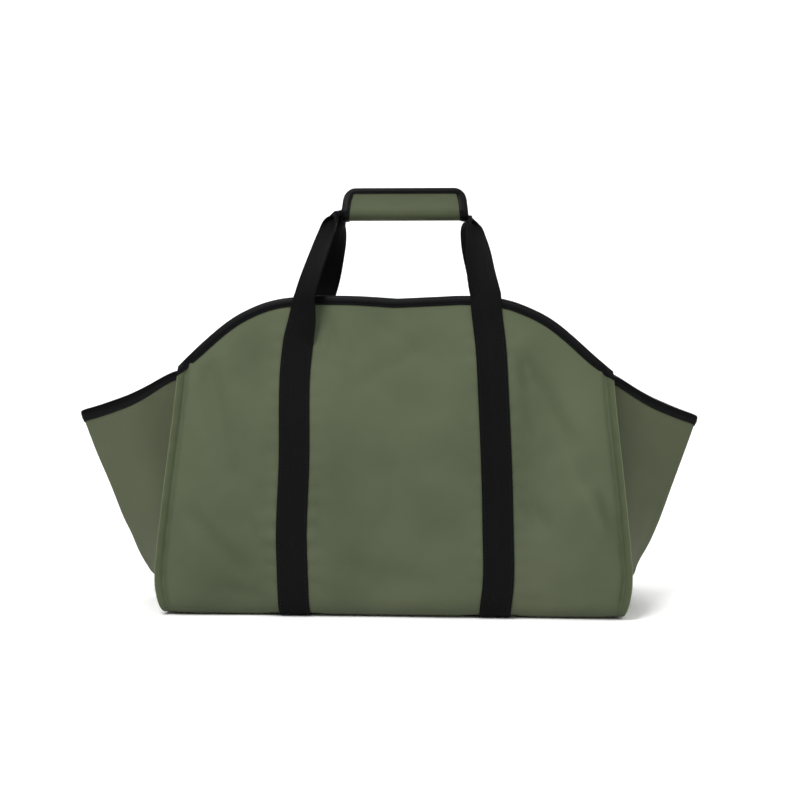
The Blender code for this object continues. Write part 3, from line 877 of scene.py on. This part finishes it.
# %% [markdown]
# ## The webbing handles
# One strip of webbing on each face is sewn under the base and up the panel, then leaves it
# a little below the top edge. The free leg turns about its own length while its edges fold
# upward, and it enters the grip as a flat loop on its side. A curve with four control
# points carries the leg, and a table gives its turn and its fold on the way.

# %%
STITCH_FREE = 0.024
LEG_STRAIGHT = 0.046  # the first control point lies this far up the panel's line,
LEG_LEAN = 0.013  # and this far toward the middle
HANDLE_TURN = {-1: 0.0105, 1: -0.001}  # the second one lies this far beside the grip's end,
HANDLE_DIP = {-1: 0.011, 1: 0.018}  # and this far below it
HANDLE_APART = 0.0085
HANDLE_SEAT = 0.0017
OVER_TAPE = CANVAS / 2 + 2 * GAP + TAPE + WEBBING / 2
SEWN_STEPS = 60
LEG_STEPS = 46
WEB_COLUMNS = 17
FOLD_PARTS = 20
CURL_START = 0.55  # share of the half width from which the left handle's edges curl in
CURL_START_RIGHT = 0.32
CURL_BLEND = 0.04
CORNER_PRESS = 0.5  # how much lower the right handle is pressed at the grip's corner
BASE_WEB_STEPS = 14
GRIP_WEB_STEPS = 40
BACK_TWIST = [(0.0, 0.0), (0.2, 10.0), (0.55, 26.0), (0.78, 48.0), (0.92, 76.0), (1.0, 90.0)]
LEG_TWIST = {  # by side and face: share of the leg, and its turn about its length in degrees
    (-1, -1): [(0.0, 43.0), (0.3, 43.0), (0.55, 45.0), (0.78, 55.0), (0.92, 76.0), (1.0, 90.0)],
    (1, -1): [(0.0, 0.0), (0.2, 20.0), (0.45, 34.0), (0.65, 48.0), (0.8, 62.0), (1.0, 90.0)],
    (-1, 1): BACK_TWIST,
    (1, 1): BACK_TWIST,
}
LEG_FOLD = {  # by side: share of the leg, and share of the full fold
    -1: [(0.0, 0.0), (0.2, 0.05), (0.55, 0.14), (0.78, 0.36), (0.92, 0.84), (1.0, 1.0)],
    1: [(0.0, 0.0), (0.2, 0.05), (0.55, 0.1), (0.78, 0.18), (0.92, 0.5), (1.0, 1.0)],
}
LOOSE_TURN = [  # height, and the turn of the front left strap where it comes off the panel
    (0.337, 0.0), (0.3535, 14.0), (0.378, 32.0), (0.389, 40.0), (0.394, 43.0),
]
LOOSE_SHIFT = [(0.337, 0.0), (0.3535, 0.0016), (0.378, 0.0046), (0.389, 0.0065), (0.394, 0.0083)]
LEG_BULGE = {  # by side and face: share of the leg, and how far it leans toward the middle
    (-1, -1): [(0.0, 0.0), (0.28, 0.0012), (0.65, 0.0008), (0.9, 0.0), (1.0, 0.0)],
    (1, -1): [
        (0.0, 0.0), (0.2, -0.001), (0.45, -0.0034), (0.65, -0.004), (0.8, -0.0034), (0.92, 0.001),
        (1.0, 0.0),
    ],
    (-1, 1): [(0.0, 0.0), (0.2, 0.0015), (0.4, 0.002), (0.7, 0.0045), (0.88, 0.0075), (1.0, 0.0)],
    (1, 1): [(0.0, 0.0), (0.5, 0.001), (0.8, 0.002), (0.92, 0.0045), (1.0, 0.0)],
}


def sewn_frames(side, face):
    """The sewn part on one side of the middle: (middle, outward, fold)."""
    frames = []
    low = BASE_HEIGHT - STRAP_OUT
    for i in range(BASE_WEB_STEPS):
        share = i / BASE_WEB_STEPS
        x = STRAP_BASE + (strap_middle(0, side, face) - STRAP_BASE) * ease(share)
        middle = Vector((side * x, -GAP / 2 - (ARC_Y - GAP / 2) * share, low))
        frames.append((middle, Vector((0, 0, -1)), 0.0))
    for i in range(CORNER_STEPS + 1):
        turn = 1 - i / CORNER_STEPS
        depth, z = corner_point(turn, -STRAP_OUT)
        angle = LEAN - (math.pi / 2 + LEAN) * turn
        out = Vector((0, -math.cos(angle), math.sin(angle)))
        frames.append((Vector((side * strap_middle(z, side, face), -depth, z)), out, 0.0))
    top = CROWN_HEIGHT + STITCH_FREE * 0.15
    for i in range(1, SEWN_STEPS + 1):
        z = ARC_TOP + (top - ARC_TOP) * i / SEWN_STEPS
        lift = ease((z - (CROWN_HEIGHT - STITCH_FREE)) / 0.01)
        out = STRAP_OUT + (OVER_TAPE + TAPE_SWELL - STRAP_OUT) * lift
        middle = Vector((side * strap_middle(z, side, face), -wall_depth(z, -out), z))
        outward = PANEL_OUT.copy()
        if (side, face) == (-1, -1):
            turn = math.radians(lookup(LOOSE_TURN, z))
            half = WEBBING_WIDTH / 2
            middle.x += lookup(LOOSE_SHIFT, z) - half * (1 - math.cos(turn))
            middle += PANEL_OUT * half * math.sin(turn)
            outward = PANEL_OUT * math.cos(turn) - Vector((math.sin(turn), 0, 0))
        frames.append((middle, outward, 0.0))
    return frames


def leg_frames(side, face, start):
    """The free leg from the panel's top to the grip."""
    beyond = GRIP_LENGTH / 2 + TAPE_OUT + CANVAS / 2 + TAPE / 2 + GAP
    height = GRIP_UNDERSIDE + CANVAS + TAPE + 2 * GAP + WEBBING / 2 + HANDLE_SEAT
    end = Vector((GRIP_SHIFT + side * beyond, -HANDLE_APART / 2, height))
    rising = Vector((0, math.sin(LEAN), math.cos(LEAN))) * LEG_STRAIGHT
    first = start + rising - Vector((side * LEG_LEAN, 0, 0))
    second = end + Vector((side * HANDLE_TURN[side], 0, -HANDLE_DIP[side]))
    frames = []
    for i in range(1, LEG_STEPS + 1):
        t = i / LEG_STEPS
        middle = start * (1 - t) ** 3 + first * (3 * t * (1 - t) ** 2)
        middle += second * (3 * t * t * (1 - t)) + end * t**3
        middle.x -= side * lookup(LEG_BULGE[side, face], t)
        along = (first - start) * (1 - t) ** 2 + (second - first) * (2 * t * (1 - t))
        along = (along + (end - second) * t * t).normalized()
        turn = math.radians(lookup(LEG_TWIST[side, face], t))
        fold = lookup(LEG_FOLD[side], t)
        loop_side = Vector((side * along.z, 0, -side * along.x)).normalized()
        out = PANEL_OUT * math.cos(turn) + loop_side * math.sin(turn)
        out -= along * out.dot(along)
        frames.append((middle, out.normalized(), fold))
    return frames


def webbing_frames(face):
    """The whole strip: up the left, through the grip, and down the right."""
    left = sewn_frames(-1, face)
    left += leg_frames(-1, face, left[-1][0])
    right = sewn_frames(1, face)
    right += leg_frames(1, face, right[-1][0])
    a = left[-1]
    b = right[-1]
    in_grip = []
    for i in range(1, GRIP_WEB_STEPS):
        t = i / GRIP_WEB_STEPS
        nearer = a[1] if t < 0.5 else b[1]
        out = nearer.lerp(Vector((0, 0, 1)), ease(min(t, 1 - t) / 0.12)).normalized()
        in_grip.append((a[0].lerp(b[0], t), out, 1.0))
    return left + in_grip + right[::-1]


def webbing_point(frames, index, edge, out_by=0.0):
    """A point of the webbing: edge from -1 to 1 across it."""
    middle, outward, fold = frames[index]
    before = frames[max(index - 1, 0)][0]
    after = frames[min(index + 1, len(frames) - 1)][0]
    across = (after - before).normalized().cross(outward).normalized()
    half = WEBBING_WIDTH / 2
    flat = 0.0
    up = 0.0
    curl = CURL_START + (CURL_START_RIGHT - CURL_START) * ease(middle.x / CURL_BLEND / 2 + 0.5)
    for i in range(FOLD_PARTS):
        place = abs(edge) * (i + 0.5) / FOLD_PARTS
        angle = fold * math.pi / 2 * ease((place - 0.05) / 0.25)
        angle += fold * math.pi * ease((place - curl) / 0.3)
        flat += math.cos(angle) * abs(edge) / FOLD_PARTS
        up += math.sin(angle) * abs(edge) / FOLD_PARTS
    side = math.copysign(1.0, edge)
    up *= 1 - CORNER_PRESS * band(middle.x - GRIP_SHIFT - GRIP_LENGTH / 2, 0.012)
    return middle + across * (half * flat * side) + outward * (half * up + out_by)


strip = {face: webbing_frames(face) for face in (-1, 1)}
for face, name in FACES:
    flip = Vector((1, -face, 1))
    points = [
        [webbing_point(strip[face], k, edge) * flip for edge in spread(-1, 1, WEB_COLUMNS)]
        for k in range(len(strip[face]))
    ]
    grid_piece(f"{name}_handle_webbing", points, WEBBING, [webbing])

# %% [markdown]
# ## The grip
# A small canvas wrap is folded up round both handles and closed along its top, with tape
# round its raw edge. Its ends slant in a little toward the top and have round corners.

# %%
GRIP_SECTION = [  # share of the grip's height, and of half its depth
    (0.0, 0.0), (0.015, 0.3), (0.07, 0.66), (0.15, 0.92), (0.24, 1.0), (0.34, 0.95), (0.48, 0.7),
    (0.62, 0.48), (0.78, 0.3), (0.9, 0.22), (1.0, 0.19),
]
GRIP_CORNER = 0.013
GRIP_SLANT = 0.0045
GRIP_RIPPLE = 0.0006
GRIP_COLUMNS = 61
GRIP_ROWS = 34
GRIP_EDGE_STEPS = 26
GRIP_TAPE = 0.0085
GRIP_TAPE_TOP = 0.005


def grip_top(share):
    """Share of the grip's height that is left under its round corners, at a share across."""
    past = abs(share) * GRIP_LENGTH / 2 - (GRIP_LENGTH / 2 - GRIP_CORNER)
    if past <= 0:
        return 1.0
    cut = GRIP_CORNER - math.sqrt(max(GRIP_CORNER**2 - past**2, 0.0))
    return 1 - cut / (GRIP_HEIGHT - CANVAS)


def grip_point(share, up, face):
    """A point of the grip: share from -1 to 1 along it, up from the fold to the top."""
    height = GRIP_HEIGHT - CANVAS
    level = up * grip_top(share)
    depth = (GRIP_DEPTH - CANVAS) / 2 * lookup(GRIP_SECTION, level)
    wave = GRIP_RIPPLE * noise.noise(Vector((share * 4, level * 3, face))) * ease(level / 0.3)
    half = GRIP_LENGTH / 2 - GRIP_SLANT * level
    depth = max(depth + wave * ease((0.75 - level) / 0.2), 0.0)
    z = GRIP_UNDERSIDE + CANVAS / 2 + height * level
    return Vector((GRIP_SHIFT + share * half, face * depth, z))


ups = [i / GRIP_ROWS for i in range(GRIP_ROWS + 1)]
along_grip = [math.sin(t * 1.35) / math.sin(1.35) for t in spread(-1, 1, GRIP_COLUMNS)]
points = [[grip_point(s, up, -1) for s in along_grip] for up in reversed(ups)]
points += [[grip_point(s, up, 1) for s in along_grip] for up in ups[1:]]
grip = grid_piece("grip_canvas", points, CANVAS, [grip_shade_canvas, cut_edge])


def grip_edge(face):
    """Frames round the grip's raw edge on one face, from the fold up, along the top and down."""
    steps = range(GRIP_EDGE_STEPS)
    route = [(-1.0, i / GRIP_EDGE_STEPS) for i in steps]
    route += [(s, 1.0) for s in along_grip]
    route += [(1.0, 1 - (i + 1) / GRIP_EDGE_STEPS) for i in steps]
    centre = Vector((GRIP_SHIFT, 0, GRIP_UNDERSIDE + GRIP_HEIGHT * 0.4))
    frames = []
    places = [grip_point(s, up, face) for s, up in route]
    for k, (s, up) in enumerate(route):
        point = places[k]
        along = (places[min(k + 1, len(places) - 1)] - places[max(k - 1, 0)]).normalized()
        below = grip_point(s, max(up - 0.03, 0.0), face)
        above = grip_point(s, min(up + 0.03, 1.0), face)
        rise = (above - below).normalized()
        normal = Vector((0, face * abs(rise.z), -rise.y * face)).normalized()
        if k in (0, len(route) - 1):
            normal = Vector((0, 0, -1))
        inner = normal.cross(along).normalized()
        inner *= -1 if inner.dot(centre - point) < 0 else 1
        frames.append((point, inner, normal))
    return frames


grip_frames = {face: grip_edge(face) for face in (-1, 1)}
grip_widths = {
    face: [
        GRIP_TAPE + (GRIP_TAPE_TOP - GRIP_TAPE) * ease((abs(inner.z) - 0.6) / 0.4)
        for point, inner, normal in grip_frames[face]
    ]
    for face in (-1, 1)
}
rows = [tape_rows(grip_frames[face], grip_widths[face]) for face in (-1, 1)]
grid_piece("grip_tape", rows[0] + rows[1][::-1], TAPE, [tape], TAPE_SHARP)

# %% [markdown]
# ## Stitches
# Stitches repeat along lines, so a node tree sets one on every few millimetres of a guide
# line. The guide carries the cloth's outward direction, which keeps each stitch flat on
# the cloth. The tree ends in real geometry, and each set then becomes a plain mesh.


# %%
def stitch_tree():
    """The node tree: guide lines in, rows of stitches out."""
    tree = bpy.data.node_groups.new("rows of stitches", "GeometryNodeTree")
    ports = tree.interface
    for label, kind in (
        ("Geometry", "Geometry"),
        ("Spacing", "Float"),
        ("Stitch length", "Float"),
        ("Thread width", "Float"),
        ("Seed", "Int"),
        ("Thread", "Material"),
    ):
        ports.new_socket(label, in_out="INPUT", socket_type=f"NodeSocket{kind}")
    ports.new_socket("Geometry", in_out="OUTPUT", socket_type="NodeSocketGeometry")
    given = add_node(tree, "NodeGroupInput").outputs
    width = given["Thread width"]
    line = add_node(tree, "GeometryNodeMeshToCurve", {}, {"Mesh": given["Geometry"]})
    dots = add_node(
        tree,
        "GeometryNodeResampleCurve",
        {"mode": "LENGTH"},
        {"Curve": line, "Length": given["Spacing"]},
    )
    bead = {"Segments": 6, "Rings": 4, "Radius": 0.5}
    ball = add_node(tree, "GeometryNodeMeshUVSphere", {}, bead)
    shape = add_node(
        tree, "ShaderNodeCombineXYZ", {}, {"X": given["Stitch length"], "Y": width, "Z": width}
    )
    stitch = add_node(tree, "GeometryNodeTransform", {}, {"Geometry": ball, "Scale": shape})
    outward = add_node(
        tree, "GeometryNodeInputNamedAttribute", {"data_type": "FLOAT_VECTOR"}, {"Name": "outward"}
    )
    upright = add_node(
        tree, "FunctionNodeAlignRotationToVector", {"axis": "Z"}, {"Vector": outward}
    )
    tangent = add_node(tree, "GeometryNodeInputTangent")
    lying = add_node(
        tree,
        "FunctionNodeAlignRotationToVector",
        {"axis": "X", "pivot_axis": "Z"},
        {"Rotation": upright, "Vector": tangent},
    )
    wander = add_node(
        tree,
        "FunctionNodeRandomValue",
        {"data_type": "FLOAT_VECTOR"},
        {"Min": (-0.04, -0.04, -0.1), "Max": (0.04, 0.04, 0.1), "Seed": given["Seed"]},
    )
    turned = add_node(
        tree,
        "FunctionNodeRotateRotation",
        {"rotation_space": "LOCAL"},
        {"Rotation": lying, "Rotate By": wander},
    )
    laid = add_node(
        tree,
        "GeometryNodeInstanceOnPoints",
        {},
        {"Points": dots, "Instance": stitch, "Rotation": turned},
    )
    real = add_node(tree, "GeometryNodeRealizeInstances", {}, {"Geometry": laid})
    thread = add_node(
        tree, "GeometryNodeSetMaterial", {}, {"Geometry": real, "Material": given["Thread"]}
    )
    add_node(tree, "NodeGroupOutput", {}, {"Geometry": thread})
    return tree


stitches_tree = stitch_tree()


def stitch_piece(name, lines, thread, seed, spacing=0.0042, length=0.0031, width=0.0007):
    """Rows of stitches along lines, each a list of (point, outward) in body coordinates."""
    places = []
    edges = []
    outs = []
    for line in lines:
        first = len(places)
        for point, out in line:
            places.append((point.x + BODY_SHIFT, point.y, point.z))
            outs.extend(out)
        edges += [(k, k + 1) for k in range(first, len(places) - 1)]
    guide = bpy.data.meshes.new(name)
    guide.from_pydata(places, edges, [])
    attribute = guide.attributes.new("outward", "FLOAT_VECTOR", "POINT")
    attribute.data.foreach_set("vector", outs)
    piece = bpy.data.objects.new(name, guide)
    scene.collection.objects.link(piece)
    rows = piece.modifiers.new("stitches", "NODES")
    rows.node_group = stitches_tree
    values = {
        "Spacing": spacing,
        "Stitch length": length,
        "Thread width": width,
        "Seed": seed,
        "Thread": thread,
    }
    for socket in stitches_tree.interface.items_tree:
        if socket.in_out == "INPUT" and socket.name in values:
            rows[socket.identifier] = values[socket.name]
    settled(piece, 180.0)
    if not piece.data.uv_layers:
        piece.data.uv_layers.new(name="weave")
    return piece


print("stitch tree nodes:", len(stitches_tree.nodes))

# %% [markdown]
# ## Where the stitches run
# Straps are sewn along both edges, with black thread that hardly shows. Tape is sewn close
# to its inner hem on both faces. A row in green thread closes each end seam.

# %%
STRAP_INSET = 0.003
LOOSE_FRAMES = 9  # frames of a strap below its top that have no stitches
HEM_INSET = 0.0016
HEM_STITCH = {"spacing": 0.0036, "length": 0.0027, "width": 0.0006}
SEAM_ROW_TOP = 0.05  # share of the panel above the first stitch
SEAM_ROW_LIFT = CANVAS / 2 + 0.0002


def strap_lines(face):
    """Two rows on each strap of a face, from the base to a little below the top edge."""
    flip = Vector((1, -face, 1))
    frames = strip[face]
    sewn = len(sewn_frames(-1, face)) - LOOSE_FRAMES
    edge = 1 - STRAP_INSET / (WEBBING_WIDTH / 2)
    parts = (range(sewn), range(len(frames) - sewn, len(frames)))
    return [
        [(webbing_point(frames, k, place, WEBBING / 2) * flip, frames[k][1] * flip) for k in part]
        for part in parts
        for place in (-edge, edge)
    ]


def hem_lines(frames, widths, signs=(1, -1)):
    """Rows just inside a tape's hem: sign 1 for its outer face, -1 for its inner one."""
    lift = TAPE_OUT + TAPE / 2 + TAPE_SWELL * 0.35
    return [
        [
            (point + inner * (width - HEM_INSET) + out * (lift * sign), out * sign)
            for (point, inner, out), width in zip(frames, widths)
        ]
        for sign in signs
    ]


def seam_row(side, face):
    """The row that closes an end seam, down the panel, round the corner and to mid-base."""
    line = []
    across = side * (1 - SEAM_ALLOWANCE / HALF_LENGTH)
    route = [("panel", SEAM_ROW_TOP + (1 - SEAM_ROW_TOP) * i / 90) for i in range(91)]
    route += [("corner", (i + 1) / 8) for i in range(8)]
    route += [("base", (i + 1) / 12) for i in range(12)]
    for part, share in route:
        at = body_point(across, part, share, face)
        outer = body_point(across, part, share, face, SEAM_ROW_LIFT)
        out = body_point(across, part, share, face, 0.01) - at
        line.append((outer, out.normalized()))
    return line


stitch_sets = []
for face, name in FACES:
    straps = strap_lines(face)
    hems = hem_lines(top_frames[face], top_widths)
    stitch_sets += [
        stitch_piece(f"{name}_strap_stitches", straps, black_thread, 3 + face),
        stitch_piece(f"{name}_tape_stitches", hems, black_thread, 11 + face, **HEM_STITCH),
    ]
for side, hand in SIDES:
    hems = hem_lines(wing_frames[side], wing_widths[side])
    seams = [seam_row(side, face) for face in (-1, 1)]
    stitch_sets += [
        stitch_piece(f"{hand}_end_tape_stitches", hems, black_thread, 21 + side, **HEM_STITCH),
        stitch_piece(f"{hand}_seam_stitches", seams, green_thread, 31 + side),
    ]
hems = [hem_lines(grip_frames[face], grip_widths[face], (1,))[0] for face in (-1, 1)]
stitch_sets.append(stitch_piece("grip_stitches", hems, black_thread, 41, **HEM_STITCH))
print("sets of stitches:", len(stitch_sets))

# %% [markdown]
# ## Putting the dressed pieces in place of the working ones
# Every working piece has one dressed piece, and all of them belong to the one body.

# %%
REPLACED = {
    "body_canvas": "canvas_body",
    "left_shaded_end_canvas": "end_gusset_left",
    "right_shaded_end_canvas": "end_gusset_right",
    "front_top_tape": "top_binding_front",
    "back_top_tape": "top_binding_back",
    "left_end_tape": "gusset_binding_left",
    "right_end_tape": "gusset_binding_right",
    "front_handle_webbing": "webbing_front",
    "back_handle_webbing": "webbing_back",
    "grip_canvas": "grip_wrap",
    "grip_tape": "grip_binding",
}
for name, node in REPLACED.items():
    piece = bpy.data.objects[name]
    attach(piece, "root")
    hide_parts(node)
for piece in stitch_sets:
    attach(piece, "root")

print("pieces:", len(REPLACED) + len(stitch_sets))

# %% [markdown]
# ## Studio, light and camera
# The picture is a plain product shot on a white sweep. A soft key light from the upper left
# shapes the folds, a weaker fill and a wide light overhead keep the shadows open, and a
# fourth light washes the sweep behind. A pale room fills in the rest. The camera stands a
# little to the right and looks down slightly, far enough away that the panels hardly taper.

# %%
# Matt white paper on a roll: it runs up behind the bag in one curve, so no line shows.
white = bpy.data.materials.new("white paper sweep")
white.use_nodes = True
white_shader = white.node_tree.nodes["Principled BSDF"]
white_shader.inputs["Base Color"].default_value = (*linear("#fefefd"), 1)
white_shader.inputs["Roughness"].default_value = 0.9

FLOOR = -0.0008  # just under the lowest stitches
SWEEP_BEND = 1.2
SWEEP_ROUND = 0.8
sweep_profile = [(-3.0, FLOOR), (SWEEP_BEND, FLOOR)]
for i in range(1, 13):
    angle = math.pi / 2 * i / 12
    rise = FLOOR + SWEEP_ROUND - SWEEP_ROUND * math.cos(angle)
    sweep_profile.append((SWEEP_BEND + SWEEP_ROUND * math.sin(angle), rise))
sweep_profile.append((SWEEP_BEND + SWEEP_ROUND, 4.0))
sweep_mesh = bpy.data.meshes.new("studio_sweep")
sweep_mesh.from_pydata(
    [(x, y, z) for y, z in sweep_profile for x in (-4.0, 4.0)],
    [],
    [(2 * k, 2 * k + 1, 2 * k + 3, 2 * k + 2) for k in range(len(sweep_profile) - 1)],
)
sweep_mesh.materials.append(white)
sweep_mesh.shade_smooth()
sweep = bpy.data.objects.new("studio_sweep", sweep_mesh)
scene.collection.objects.link(sweep)
sweep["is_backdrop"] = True


def soft_light(name, place, target, size, power):
    """A square soft box aimed at a point."""
    lamp = bpy.data.lights.new(name, "AREA")
    lamp.shape = "SQUARE"
    lamp.size = size
    lamp.energy = power
    holder = bpy.data.objects.new(name, lamp)
    holder.location = place
    holder.rotation_euler = (Vector(target) - Vector(place)).to_track_quat("-Z", "Y").to_euler()
    scene.collection.objects.link(holder)


soft_light("key", (-0.7, -1.75, 2.2), (0, 0, 0.25), 0.85, 58)
soft_light("fill", (1.7, -2.0, 1.2), (0, 0, 0.25), 1.6, 16)
soft_light("overhead", (0, -0.3, 2.7), (0, -0.1, 0), 2.4, 38)
soft_light("backdrop wash", (0, 0.9, 2.6), (0, 2.0, 0.9), 2.0, 24)

world = bpy.data.worlds.new("pale room")
world.use_nodes = True
world.node_tree.nodes["Background"].inputs["Color"].default_value = (*linear("#fbfbfa"), 1)
world.node_tree.nodes["Background"].inputs["Strength"].default_value = 0.26
scene.world = world

AIM = Vector((0.0185, 0.0, 0.2596))
AZIMUTH = math.radians(3.5)
PITCH = math.radians(3.5)
DISTANCE = 2.104
camera_data = bpy.data.cameras.new("camera")
camera_data.lens = 73.4
camera_data.sensor_width = 36.0
camera = bpy.data.objects.new("camera", camera_data)
back = Vector(
    (math.sin(AZIMUTH) * math.cos(PITCH), -math.cos(AZIMUTH) * math.cos(PITCH), math.sin(PITCH))
)
camera.location = AIM + back * DISTANCE
camera.rotation_euler = (-back).to_track_quat("-Z", "Y").to_euler()
scene.collection.objects.link(camera)
scene.camera = camera
scene.view_settings.view_transform = "Standard"
scene.view_settings.look = "None"
print("camera at", [round(v, 3) for v in camera.location])

# %% [markdown]
# ## The size
# The size is measured once more with the dressed pieces in place, and both measures are
# kept in one table. The last call checks every declaration that was made above.

# %%
size_lines["finished"] = plain_numbers(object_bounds())
